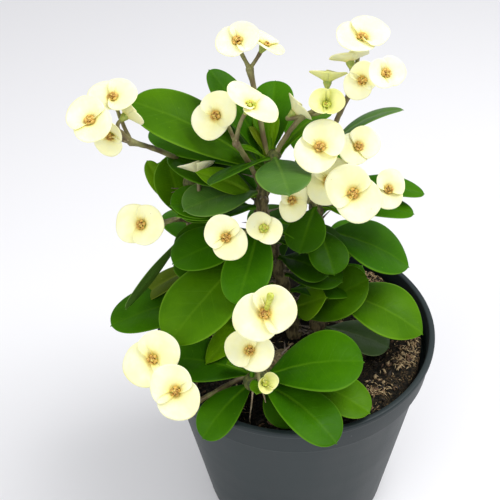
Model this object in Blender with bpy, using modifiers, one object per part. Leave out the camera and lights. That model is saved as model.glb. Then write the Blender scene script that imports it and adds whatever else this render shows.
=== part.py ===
"""Potted crown-of-thorns euphorbia (Euphorbia milii) with cream flower heads, in a plain round nursery pot.

The origin is the centre of the pot's base, on the surface it stands on. +Z is up and -Y is the front.
Four thorny canes stand in wells in the soil. Each cane is one grown piece with its own flower stalks.
Leaves and flower heads are separate pieces, and each one ends a hair's breadth from its cane or stalk.
"""

import math

import bmesh
import bpy
from mathutils import Vector

MM = 0.001
FIT_GAP = 0.3

# Pot, in millimetres
RIM_RADIUS = 60.0
POT_HEIGHT = 100.0
POT_BASE_RADIUS = 42.0
WALL = 1.4
BAND_HEIGHT = 14.0
BAND_STEP = 4.0
RIM_LIP = 1.2
FLOOR_THICKNESS = 2.0
DRAIN_HOLES = 8
DRAIN_RADIUS = 4.0
DRAIN_RING = 30.0
POT_SIDES = 48

# Soil, in millimetres
SOIL_BELOW_RIM = 9.0
SOIL_MOUND = 2.0
WELL_DEPTH = 18.0
WELL_CLEARANCE = 0.9

# Canes and flower stalks, in millimetres
CANE_FOOT_RADIUS = 3.8
CANE_TOP_RADIUS = 2.6
TALLEST_TIP = 190.0
CANE_RINGS = 10
TIP_DOME = ((1.2, 0.8), (2.0, 0.4))
PEDUNCLE_RADIUS = 0.9
STALK_RADIUS = 0.7
STALK_RINGS = 5

# Leaves, in millimetres
BLADE = 0.7
PETIOLE_HALF_WIDTH = 1.1
LEAF_GAP = 0.6
LEAF_FOLD = 0.16
LEAF_ROWS = 6
LEAF_COLUMNS = 4

# Flower heads, in millimetres
BRACT = 0.6
CUP_RADIUS = 1.9
CUP_LENGTH = 5.0
GLAND_HEIGHT = 1.2
HEAD_SIDES = 14
HEAD_LEVELS = 8

# Each cane is a smooth line through its points, from the soil to its growing tip.
SOIL_TOP = POT_HEIGHT - SOIL_BELOW_RIM
CROWN = SOIL_TOP + SOIL_MOUND
CANES = {
    "centre": [(0, 2, CROWN), (-6, 3, 125), (-13, 2, 158), (-12, 1, 176), (-8, 1, 190)],
    "left": [(-8, 6, CROWN), (-26, 10, 116), (-40, 12, 143), (-42, 12, 164), (-38, 12, 180)],
    "right": [(9, 1, CROWN), (13, 5, 122), (9, 8, 155), (12, 10, 188)],
    "front": [(-4, -14, CROWN), (-7, -20, 101), (-14, -32, 108), (-20, -43, 112)],
}

# Leaf: cane, height where it grows, heading (0 is +X, 90 is the back), pitch of its chord, length, width,
# arch above the chord, and roll about the chord.
LEAVES = {
    "leaf_upper_left": ("centre", 183, 170, 29, 54, 27, 4, -10),
    "leaf_upper_left_lower": ("centre", 181.5, 152, 6, 48, 22, 3, -5),
    "leaf_top_back_left": ("centre", 186, 138, 49, 39, 14, 3, 0),
    "leaf_top_back": ("centre", 190, 85, 31, 29, 16, 2, 0),
    "leaf_top_front": ("centre", 190, -82, 8, 27, 20, 2, 0),
    "leaf_mid_front_left": ("centre", 173, 206, 6, 30, 21, 2, 0),
    "leaf_front_hanging": ("centre", 140, -130, -34, 28, 18, 2, 0),
    "leaf_big_front_left": ("centre", 150, -135, -20, 55, 30, 4, 0),
    "leaf_left_rounded": ("centre", 154, 203, -5, 36, 24, 2, 0),
    "leaf_left_dark": ("centre", 165, 193, 15, 33, 22, 2, 0),
    "leaf_centre_right": ("centre", 157, -18, -12, 22, 16, 2, 0),
    "leaf_inner_right": ("centre", 138, -30, -4, 21, 18, 2, 0),
    "leaf_left_upright": ("left", 150, 165, 79, 31, 16, 0, -50),
    "leaf_far_left": ("left", 113, 202, 6, 54, 26, 3, 0),
    "leaf_left_edge_on": ("left", 147, 219, -33, 40, 14, 0, 66),
    "leaf_low_inner": ("centre", 110, -42, 44, 22, 16, 1, 45),
    "leaf_right_bright": ("right", 117, -27, -13, 41, 30, 3, 0),
    "leaf_right_high": ("right", 146, -12, -23, 37, 30, 3, 0),
    "leaf_right_low": ("right", 98, -24, -3, 28, 20, 2, 0),
    "leaf_top_right": ("right", 187, 15, 20, 30, 12, 3, -20),
    "leaf_far_right": ("right", 166, 0, -4, 39, 13, 3, 0),
    "leaf_far_right_lower": ("right", 158, -10, 1, 35, 14, 3, 0),
    "leaf_right_inner": ("right", 105, 38, 34, 24, 19, 2, 0),
    "leaf_front_right_big": ("front", 110.5, -4, 14, 39, 32, 4, 0),
    "leaf_front_right_low": ("front", 106, -34, -3, 41, 20, 2, 0),
    "leaf_front": ("front", 111, -46, -6, 38, 21, 3, 0),
    "leaf_front_left": ("front", 110.5, -138, -22, 29, 17, 2, 0),
    "leaf_front_left_wide": ("front", 110.5, 165, 3, 33, 25, 3, 0),
    "leaf_back_left": ("centre", 168, 100, 8, 44, 24, 4, 0),
    "leaf_back_right": ("right", 150, 80, 5, 46, 26, 4, 0),
}

# Spray of flower heads: cane, height where its stalk leaves the cane, and the point where it forks.
SPRAYS = {
    "left_spray": ("left", 177, (-60, -6, 203)),
    "top_spray": ("centre", 184, (-16, 10, 222)),
    "upper_spray": ("centre", 173, (-22, -8, 202)),
    "crown_spray": ("centre", 188, (3, 4, 205)),
    "top_right_spray": ("right", 184, (21, 12, 209)),
    "right_spray": ("right", 170, (19, 3, 180)),
    "far_left_spray": ("left", 150, (-52, 0, 160)),
    "middle_spray": ("centre", 154, (-16, -14, 166)),
    "inner_spray": ("right", 158, (4, -2, 170)),
    "front_spray": ("front", 108, (-16, -40, 130)),
    "low_left_spray": ("front", 97, (-44, -47, 104.5)),
}

# Flower head: spray, centre of its bracts, azimuth and elevation that it faces, diameter, turn of the
# pair of bracts about the facing line, and rise of the bract edges above the centre.
HEADS = {
    "head_left_outer": ("left_spray", (-72, -15, 219), -110, 58, 19, -40, 1.0),
    "head_left_upper": ("left_spray", (-65, -2, 220), -100, 68, 18, 10, 1.0),
    "head_left_lower": ("left_spray", (-66, -14, 211), -105, 5, 14, 85, 2.0),
    "head_top_left": ("top_spray", (-20, 6, 236), -100, 58, 16, 30, 1.0),
    "head_top_right": ("top_spray", (-10, 12, 231), 10, 60, 16, 20, 1.0),
    "head_upper_left": ("upper_spray", (-29, -3, 211), -115, 35, 19, 60, 1.5),
    "head_upper_right": ("upper_spray", (-16, -9, 219), -10, 60, 21, 77, 1.5),
    "head_crown_young": ("crown_spray", (11, -3, 214), -95, 55, 13, 0, 3.0),
    "head_crown_back": ("crown_spray", (12, 6, 219), 80, 60, 14, 0, 2.5),
    "head_right_peak": ("top_right_spray", (24, 8, 234.5), -75, 74, 20, 15, 1.5),
    "head_right_high": ("top_right_spray", (31, -6.5, 228), -65, 48, 14.5, 0, 1.0),
    "head_right_side": ("top_right_spray", (23.5, -1, 222), -115, 26, 14.5, 65, 2.0),
    "head_cluster_left": ("right_spray", (8, -12, 202), -95, 50, 21, 60, 1.5),
    "head_cluster_back": ("right_spray", (23, -4, 196), -75, 50, 17, 20, 1.0),
    "head_cluster_front": ("right_spray", (20, -18, 185), -95, 35, 23, -50, 2.0),
    "head_cluster_right": ("right_spray", (35, -6, 177), -70, 42, 16, 60, 1.0),
    "head_far_left": ("far_left_spray", (-60, -8, 166), -120, 42, 21, 10, 1.5),
    "head_middle_left": ("middle_spray", (-27, -26, 173), -90, 35, 18, -55, 1.5),
    "head_middle_young": ("middle_spray", (-13, -24, 175), -80, 42, 14, -35, 1.5),
    "head_middle_right": ("inner_spray", (-2, -12, 178), -60, 20, 16, 70, 1.5),
    "head_front_upper": ("front_spray", (-14, -48, 155), -90, 42, 24, 25, 2.0),
    "head_front_lower": ("front_spray", (-20, -50, 138), -90, 40, 19, -25, 1.0),
    "head_low_left_back": ("low_left_spray", (-57, -46, 131), -110, 48, 24, 50, 1.5),
    "head_low_left_front": ("low_left_spray", (-48, -60, 128), -95, 40, 22, -60, 2.0),
}


def clear_scene():
    for old in list(bpy.data.objects):
        bpy.data.objects.remove(old)


def new_collection(name):
    collection = bpy.data.collections.new(name)
    bpy.context.scene.collection.children.link(collection)
    return collection


def material(name, colour, roughness, metallic=0.0):
    made = bpy.data.materials.new(name)
    made.use_nodes = True
    shader = made.node_tree.nodes["Principled BSDF"]
    shader.inputs["Base Color"].default_value = (*colour, 1.0)
    shader.inputs["Roughness"].default_value = roughness
    shader.inputs["Metallic"].default_value = metallic
    return made


def new_object(name, mesh, collection, finish):
    made = bpy.data.objects.new(name, mesh)
    collection.objects.link(made)
    if finish:
        mesh.materials.append(finish)
    return made


def smooth(piece, angle=50):
    piece.data.shade_smooth()
    piece.data.set_sharp_from_angle(angle=math.radians(angle))


def turned(name, profile, collection, finish):
    """A solid of revolution about Z from a profile of (radius, height) that runs down its outer side."""
    bm = bmesh.new()
    points = [bm.verts.new((radius * MM, 0, height * MM)) for radius, height in profile]
    for start, end in zip(points, points[1:]):
        bm.edges.new((start, end))
    mesh = bpy.data.meshes.new(name)
    bm.to_mesh(mesh)
    bm.free()
    made = new_object(name, mesh, collection, finish)
    screw = made.modifiers.new("Turn", "SCREW")
    screw.axis = "Z"
    screw.steps = POT_SIDES
    screw.render_steps = POT_SIDES
    screw.use_merge_vertices = True
    screw.merge_threshold = 0.00005
    return made


def cylinder(name, radius, low, high, place, collection, sides=16):
    """A cutter: an upright cylinder from height low to height high at the (x, y) place."""
    bm = bmesh.new()
    bmesh.ops.create_cone(
        bm,
        cap_ends=True,
        segments=sides,
        radius1=radius * MM,
        radius2=radius * MM,
        depth=(high - low) * MM,
    )
    mesh = bpy.data.meshes.new(name)
    bm.to_mesh(mesh)
    bm.free()
    made = new_object(name, mesh, collection, None)
    made.location = (place[0] * MM, place[1] * MM, (low + high) / 2 * MM)
    made.hide_render = True
    made.display_type = "WIRE"
    return made


def cut(piece, cutter):
    boolean = piece.modifiers.new("Cut " + cutter.name, "BOOLEAN")
    boolean.operation = "DIFFERENCE"
    boolean.solver = "EXACT"
    boolean.object = cutter


def wall_radius(height):
    """The pot's outer radius below its band."""
    shoulder = POT_HEIGHT - BAND_HEIGHT
    slope = (RIM_RADIUS - BAND_STEP - POT_BASE_RADIUS) / shoulder
    return POT_BASE_RADIUS + slope * height


def make_pot(collection, cutters):
    """A thin tapering shell with a wide band under its rim and a ring of drainage holes in its floor."""
    shoulder = POT_HEIGHT - BAND_HEIGHT
    band_inner = RIM_RADIUS - RIM_LIP - WALL
    profile = [
        (0, FLOOR_THICKNESS),
        (wall_radius(FLOOR_THICKNESS) - WALL, FLOOR_THICKNESS),
        (wall_radius(shoulder) - WALL, shoulder),
        (band_inner - 1.0, shoulder + 2.0),
        (band_inner, POT_HEIGHT - 0.5),
        (band_inner + 0.5, POT_HEIGHT),
        (RIM_RADIUS - 0.5, POT_HEIGHT),
        (RIM_RADIUS, POT_HEIGHT - 0.5),
        (RIM_RADIUS, POT_HEIGHT - 2.5),
        (RIM_RADIUS - RIM_LIP, POT_HEIGHT - 3.2),
        (RIM_RADIUS - RIM_LIP - 0.8, shoulder),
        (wall_radius(shoulder), shoulder - 0.8),
        (POT_BASE_RADIUS + 0.3, 1.5),
        (POT_BASE_RADIUS - 1.0, 0),
        (0, 0),
    ]
    finish = material("pot_plastic", (0.055, 0.065, 0.075), 0.45)
    pot = turned("pot", profile, collection, finish)
    for number in range(DRAIN_HOLES):
        angle = 2 * math.pi * (number / DRAIN_HOLES + 0.5 / POT_SIDES)
        place = (DRAIN_RING * math.cos(angle), DRAIN_RING * math.sin(angle))
        drill = cylinder(f"drain_cutter_{number + 1}", DRAIN_RADIUS, -1, FLOOR_THICKNESS + 1, place, cutters)
        cut(pot, drill)
    smooth(pot)
    return pot


def cane_radius(height):
    """A cane's radius, from its foot at the soil to the tip of the tallest one."""
    share = min(max((height - CROWN) / (TALLEST_TIP - CROWN), 0), 1)
    return CANE_FOOT_RADIUS + (CANE_TOP_RADIUS - CANE_FOOT_RADIUS) * share


def make_soil(collection, cutters):
    """The potting mix, a little below the rim and mounded towards the middle, with a well for each cane."""
    shoulder = POT_HEIGHT - BAND_HEIGHT
    bottom = FLOOR_THICKNESS + FIT_GAP
    edge = wall_radius(shoulder) - WALL - FIT_GAP
    profile = [
        (0, SOIL_TOP + SOIL_MOUND),
        (20, SOIL_TOP + SOIL_MOUND * 0.8),
        (40, SOIL_TOP + SOIL_MOUND * 0.3),
        (edge - 1.0, SOIL_TOP),
        (edge, SOIL_TOP - 1.0),
        (edge, shoulder),
        (wall_radius(bottom) - WALL - FIT_GAP, bottom),
        (0, bottom),
    ]
    finish = material("potting_soil", (0.035, 0.022, 0.014), 0.95)
    soil = turned("soil", profile, collection, finish)
    for name, path in CANES.items():
        foot = path[0]
        radius = CANE_FOOT_RADIUS + WELL_CLEARANCE
        low = CROWN - WELL_DEPTH - FIT_GAP
        cut(soil, cylinder(f"well_cutter_{name}", radius, low, CROWN + 10, foot[:2], cutters))
    smooth(soil)
    return soil


def on_spline(path, share):
    """The point at this share of a smooth line (Catmull-Rom) through the path's points."""
    last = len(path) - 1
    place = min(max(share, 0), 0.9999) * last
    index = int(place)
    t = place - index
    b, c = Vector(path[index]), Vector(path[index + 1])
    a = Vector(path[index - 1]) if index > 0 else 2 * b - c
    d = Vector(path[index + 2]) if index + 2 <= last else 2 * c - b
    return 0.5 * (2 * b + (c - a) * t + (2 * a - 5 * b + 4 * c - d) * t * t + (3 * b - a - 3 * c + d) * t**3)


def cane_point(cane, height):
    """The point of the cane's centre line at this height above the floor."""
    low, high = 0.0, 1.0
    for _ in range(30):
        middle = (low + high) / 2
        if on_spline(CANES[cane], middle).z < height:
            low = middle
        else:
            high = middle
    return on_spline(CANES[cane], low)


def bezier(start, pull, end, share):
    """The point at this share of the quadratic curve from start to end, pulled towards pull."""
    return start * (1 - share) ** 2 + pull * 2 * share * (1 - share) + end * share**2


def tube(name, points, radii, roundness):
    """A closed mesh tube through the points, with a radius at each, in millimetres."""
    curve = bpy.data.curves.new(name, "CURVE")
    curve.dimensions = "3D"
    curve.bevel_depth = MM
    curve.bevel_resolution = roundness
    curve.use_fill_caps = True
    spline = curve.splines.new("POLY")
    spline.points.add(len(points) - 1)
    for target, point, radius in zip(spline.points, points, radii):
        target.co = (*(Vector(point) * MM), 1.0)
        target.radius = radius
    source = bpy.data.objects.new(name, curve)
    bpy.context.scene.collection.objects.link(source)
    graph = bpy.context.evaluated_depsgraph_get()
    mesh = bpy.data.meshes.new_from_object(source.evaluated_get(graph))
    bpy.data.objects.remove(source)
    bm = bmesh.new()
    bm.from_mesh(mesh)
    bmesh.ops.remove_doubles(bm, verts=bm.verts, dist=0.00001)
    bmesh.ops.recalc_face_normals(bm, faces=bm.faces)
    bm.to_mesh(mesh)
    bm.free()
    return mesh


def join_on(piece, mesh, name, cutters):
    """Grows the mesh onto the piece with a Boolean union."""
    growth = new_object(name, mesh, cutters, None)
    growth.hide_render = True
    growth.display_type = "WIRE"
    union = piece.modifiers.new("Join " + name, "BOOLEAN")
    union.operation = "UNION"
    union.solver = "EXACT"
    union.object = growth


def facing(azimuth, elevation):
    """The unit vector with this azimuth and elevation in degrees."""
    turn, lift = math.radians(azimuth), math.radians(elevation)
    return Vector((math.cos(lift) * math.cos(turn), math.cos(lift) * math.sin(turn), math.sin(lift)))


def peduncle_mesh(name):
    cane, height, fork = SPRAYS[name]
    start = cane_point(cane, height)
    end = Vector(fork)
    pull = start.lerp(end, 0.5) + Vector((0, 0, 3))
    shares = [index / (STALK_RINGS - 1) for index in range(STALK_RINGS)]
    points = [bezier(start, pull, end, share) for share in shares]
    return tube(name, points, [PEDUNCLE_RADIUS] * STALK_RINGS, 1)


def stalk_mesh(head):
    """The short stalk from the spray's fork to the back of one flower head."""
    spray, centre, azimuth, elevation = HEADS[head][:4]
    start = Vector(SPRAYS[spray][2])
    ahead = facing(azimuth, elevation)
    end = Vector(centre) - ahead * (CUP_LENGTH + FIT_GAP)
    pull = end - ahead * (end - start).length * 0.45
    shares = [index / (STALK_RINGS - 1) for index in range(STALK_RINGS)]
    points = [bezier(start, pull, end, share) for share in shares]
    return tube("stalk_" + head, points, [STALK_RADIUS] * STALK_RINGS, 1)


def make_cane(cane, collection, cutters, finish):
    """A cane from the bottom of its well to its tip, with the flower stalks that grow from it."""
    path = CANES[cane]
    foot = Vector(path[0]) - Vector((0, 0, WELL_DEPTH))
    points = [foot] + [on_spline(path, index / CANE_RINGS) for index in range(CANE_RINGS + 1)]
    radii = [cane_radius(point.z) for point in points]
    ahead = (points[-1] - points[-2]).normalized()
    for reach, share in TIP_DOME:
        points.append(points[CANE_RINGS + 1] + ahead * reach)
        radii.append(radii[CANE_RINGS + 1] * share)
    made = new_object("cane_" + cane, tube("cane_" + cane, points, radii, 2), collection, finish)
    for spray in [name for name in SPRAYS if SPRAYS[name][0] == cane]:
        join_on(made, peduncle_mesh(spray), "peduncle_" + spray, cutters)
        for head in [name for name in HEADS if HEADS[name][0] == spray]:
            join_on(made, stalk_mesh(head), "stalk_" + head, cutters)
    smooth(made)
    return made


def leaf_half_width(share, width):
    """An obovate outline: narrow at the base, widest past the middle and round at the tip."""
    rise, fall = 0.95, 0.5
    peak = rise / (rise + fall)
    shape = (share**rise) * ((1 - share) ** fall) / (peak**rise * (1 - peak) ** fall)
    return max(width / 2 * shape, PETIOLE_HALF_WIDTH)


def leaf_frame(cane, height, heading, pitch, roll):
    """Where a leaf starts, clear of its cane, and its directions: along, up from the blade, and across."""
    along = facing(heading, pitch)
    up = facing(heading, pitch + 90)
    across = along.cross(up)
    turn = math.radians(roll)
    up, across = up * math.cos(turn) + across * math.sin(turn), across * math.cos(turn) - up * math.sin(turn)
    core = cane_point(cane, height)
    axis = (cane_point(cane, height + 2) - cane_point(cane, height - 2)).normalized()
    outward = (along - axis * along.dot(axis)).normalized()
    start = core + outward * (cane_radius(height) + LEAF_GAP)
    return start, along, up, across


def make_leaf(name, collection, finish):
    """A thin arched blade, folded a little along its midrib."""
    cane, height, heading, pitch, length, width, arch, roll = LEAVES[name]
    start, along, up, across = leaf_frame(cane, height, heading, pitch, roll)
    bm = bmesh.new()
    bmesh.ops.create_grid(bm, x_segments=LEAF_ROWS, y_segments=LEAF_COLUMNS, size=0.5)
    for vert in bm.verts:
        share = 1 - (0.5 - vert.co.x) ** 1.7
        side = 2 * vert.co.y
        half = leaf_half_width(share, width)
        lift = 4 * arch * share * (1 - share) + LEAF_FOLD * half * abs(side)
        vert.co = (start + along * length * share + across * half * side + up * lift) * MM
    mesh = bpy.data.meshes.new(name)
    bmesh.ops.recalc_face_normals(bm, faces=bm.faces)
    bm.to_mesh(mesh)
    bm.free()
    made = new_object(name, mesh, collection, finish)
    thickness = made.modifiers.new("Blade", "SOLIDIFY")
    thickness.thickness = BLADE * MM
    thickness.offset = 0
    smooth(made)
    return made


def bract_outline(angle, diameter):
    """The reach of a pair of overlapping round bracts from their centre, in this direction."""
    spread, radius = 0.12 * diameter, 0.38 * diameter
    along = spread * abs(math.cos(angle))
    return along + math.sqrt(radius**2 - (spread * math.sin(angle)) ** 2)


def head_profile(level, reach, rise):
    """Radius and height above the bract centre at this level, from the glands over the edge to the stalk."""
    middle = CUP_RADIUS + (reach - CUP_RADIUS) * 0.45
    half = BRACT / 2
    levels = [
        (0, GLAND_HEIGHT),
        (CUP_RADIUS, GLAND_HEIGHT * 0.7),
        (middle, rise * 0.35 + half),
        (reach, rise + half),
        (reach, rise - half),
        (middle, rise * 0.35 - half),
        (CUP_RADIUS, -1.0),
        (STALK_RADIUS + 0.2, -CUP_LENGTH + 0.4),
        (0, -CUP_LENGTH),
    ]
    return levels[level]


def make_head(name, collection, finish):
    """One flower head: a pair of broad bracts around a small cup with its glands, grown as one piece."""
    _, centre, azimuth, elevation, diameter, spin, rise = HEADS[name]
    ahead = facing(azimuth, elevation)
    level_side = Vector((-math.sin(math.radians(azimuth)), math.cos(math.radians(azimuth)), 0))
    upright = ahead.cross(level_side)
    bm = bmesh.new()
    bmesh.ops.create_uvsphere(bm, u_segments=HEAD_SIDES, v_segments=HEAD_LEVELS, radius=1)
    for vert in bm.verts:
        level = round(math.acos(min(max(vert.co.z, -1), 1)) / math.pi * HEAD_LEVELS)
        angle = math.atan2(vert.co.y, vert.co.x)
        radius, height = head_profile(level, bract_outline(angle, diameter), rise)
        turned_angle = angle + math.radians(spin)
        sideways = level_side * math.cos(turned_angle) + upright * math.sin(turned_angle)
        vert.co = (Vector(centre) + sideways * radius + ahead * height) * MM
    mesh = bpy.data.meshes.new(name)
    bm.to_mesh(mesh)
    bm.free()
    made = new_object(name, mesh, collection, finish)
    smooth(made)
    return made


def main():
    clear_scene()
    plant = new_collection("potted_euphorbia")
    cutters = new_collection("cutters")
    make_pot(plant, cutters)
    make_soil(plant, cutters)
    for cane in CANES:
        bark = material("bark_" + cane, (0.16, 0.12, 0.07), 0.7)
        make_cane(cane, plant, cutters, bark)
    for name in LEAVES:
        make_leaf(name, plant, material(name, (0.05, 0.14, 0.015), 0.4))
    for name in HEADS:
        make_head(name, plant, material(name, (0.9, 0.86, 0.52), 0.5))


main()
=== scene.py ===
"""Potted crown-of-thorns euphorbia: the look of every surface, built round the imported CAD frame.

The design tables repeat the CAD source, in millimetres and degrees. +Z is up, -Y is the front, and the
origin is the centre of the pot's base. Each leaf, flower head and cane here stands for its plain CAD node.
"""

import math
import random

import bmesh
import bpy
from mathutils import Matrix, Vector, noise


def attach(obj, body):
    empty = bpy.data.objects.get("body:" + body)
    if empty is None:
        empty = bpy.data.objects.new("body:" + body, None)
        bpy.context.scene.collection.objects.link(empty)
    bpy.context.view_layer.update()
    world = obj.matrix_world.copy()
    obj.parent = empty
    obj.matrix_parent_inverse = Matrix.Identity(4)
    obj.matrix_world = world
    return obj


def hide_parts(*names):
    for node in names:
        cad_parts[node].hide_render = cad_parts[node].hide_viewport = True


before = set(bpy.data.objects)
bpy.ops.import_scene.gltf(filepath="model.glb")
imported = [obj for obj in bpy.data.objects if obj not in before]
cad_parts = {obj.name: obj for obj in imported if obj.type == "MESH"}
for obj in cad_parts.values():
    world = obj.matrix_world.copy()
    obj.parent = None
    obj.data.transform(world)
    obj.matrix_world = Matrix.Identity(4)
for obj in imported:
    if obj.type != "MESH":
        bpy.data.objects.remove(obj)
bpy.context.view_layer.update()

MM = 0.001

# Pot and soil, in millimetres
RIM_RADIUS = 60.0
POT_HEIGHT = 100.0
POT_BASE_RADIUS = 42.0
WALL = 1.4
BAND_HEIGHT = 14.0
BAND_STEP = 4.0
RIM_LIP = 1.2
FLOOR_THICKNESS = 2.0
DRAIN_HOLES = 8
DRAIN_RADIUS = 4.0
DRAIN_RING = 30.0
POT_SIDES = 128
SOIL_BELOW_RIM = 9.0
SOIL_MOUND = 2.0
WELL_DEPTH = 18.0
FIT_GAP = 0.3
SOIL_BANK = 4.0
DARK_MIX = (0, 0, 0, 0, 1)
DRY_MIX = (0, 1, 1, 2)

# Canes and flower stalks, in millimetres
CANE_FOOT_RADIUS = 3.8
CANE_TOP_RADIUS = 2.6
TALLEST_TIP = 190.0
CANE_RINGS = 90
CANE_SIDES = 16
PEDUNCLE_RADIUS = 1.0
PEDICEL_RADIUS = 0.75
STALK_RINGS = 16
STALK_SIDES = 10
SPINE_SPACING = 4.5

# Leaves, in millimetres
LEAF_ROWS = 30
LEAF_COLUMNS = 7
PETIOLE_HALF_WIDTH = 1.0
LEAF_FOLD = 0.16
LEAF_SHINE = {"deep": 0.05, "mid": 0.05, "fresh": 0.05, "bright": 0.05, "olive": 0.08, "sheen_blue": 0.25, "grey": 0.3}
MUCRO = 0.5

# Flower heads, in millimetres
CUP_LENGTH = 5.0
FULL_HEAD = 24.0
BRACT_SPAN = math.radians(128)
BRACT_TURN = math.radians(94)
BRACT_STEPS = 36
BRACT_RINGS = 12

SOIL_TOP = POT_HEIGHT - SOIL_BELOW_RIM
CROWN = SOIL_TOP + SOIL_MOUND

# Each cane is a smooth line through its points, from the soil to its growing tip.
CANES = {
    "centre": [(0, 2, CROWN), (-6, 3, 125), (-13, 2, 158), (-12, 1, 176), (-8, 1, 190)],
    "left": [(-8, 6, CROWN), (-26, 10, 116), (-40, 12, 143), (-42, 12, 164), (-38, 12, 180)],
    "right": [(9, 1, CROWN), (13, 5, 122), (9, 8, 155), (12, 10, 188)],
    "front": [(-4, -14, CROWN), (-7, -20, 101), (-14, -32, 108), (-20, -43, 112)],
}

# Leaf: cane, height where it grows, heading (0 is +X, 90 is the back), pitch of its chord, length, width,
# arch above the chord, and roll about the chord.
LEAVES = {
    "leaf_upper_left": ("centre", 183, 170, 29, 54, 27, 4, -10),
    "leaf_upper_left_lower": ("centre", 181.5, 152, 6, 48, 22, 3, -5),
    "leaf_top_back_left": ("centre", 186, 138, 49, 39, 14, 3, 0),
    "leaf_top_back": ("centre", 190, 85, 31, 29, 16, 2, 0),
    "leaf_top_front": ("centre", 190, -82, 8, 27, 20, 2, 0),
    "leaf_mid_front_left": ("centre", 173, 206, 6, 30, 21, 2, 0),
    "leaf_front_hanging": ("centre", 140, -130, -34, 28, 18, 2, 0),
    "leaf_big_front_left": ("centre", 150, -135, -20, 55, 30, 4, 0),
    "leaf_left_rounded": ("centre", 154, 203, -5, 36, 24, 2, 0),
    "leaf_left_dark": ("centre", 165, 193, 15, 33, 22, 2, 0),
    "leaf_centre_right": ("centre", 157, -18, -12, 22, 16, 2, 0),
    "leaf_inner_right": ("centre", 138, -30, -4, 21, 18, 2, 0),
    "leaf_left_upright": ("left", 150, 165, 79, 31, 16, 0, -50),
    "leaf_far_left": ("left", 113, 202, 6, 54, 26, 3, 0),
    "leaf_left_edge_on": ("left", 147, 219, -33, 40, 14, 0, 66),
    "leaf_low_inner": ("centre", 110, -42, 44, 22, 16, 1, 45),
    "leaf_right_bright": ("right", 117, -27, -13, 41, 30, 3, 0),
    "leaf_right_high": ("right", 146, -12, -23, 37, 30, 3, 0),
    "leaf_right_low": ("right", 98, -24, -3, 28, 20, 2, 0),
    "leaf_top_right": ("right", 187, 15, 20, 30, 12, 3, -20),
    "leaf_far_right": ("right", 166, 0, -4, 39, 13, 3, 0),
    "leaf_far_right_lower": ("right", 158, -10, 1, 35, 14, 3, 0),
    "leaf_right_inner": ("right", 105, 38, 34, 24, 19, 2, 0),
    "leaf_front_right_big": ("front", 110.5, -4, 14, 39, 32, 4, 0),
    "leaf_front_right_low": ("front", 106, -34, -3, 41, 20, 2, 0),
    "leaf_front": ("front", 111, -46, -6, 38, 21, 3, 0),
    "leaf_front_left": ("front", 110.5, -138, -22, 29, 17, 2, 0),
    "leaf_front_left_wide": ("front", 110.5, 165, 3, 33, 25, 3, 0),
    "leaf_back_left": ("centre", 168, 100, 8, 44, 24, 4, 0),
    "leaf_back_right": ("right", 150, 80, 5, 46, 26, 4, 0),
}
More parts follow.
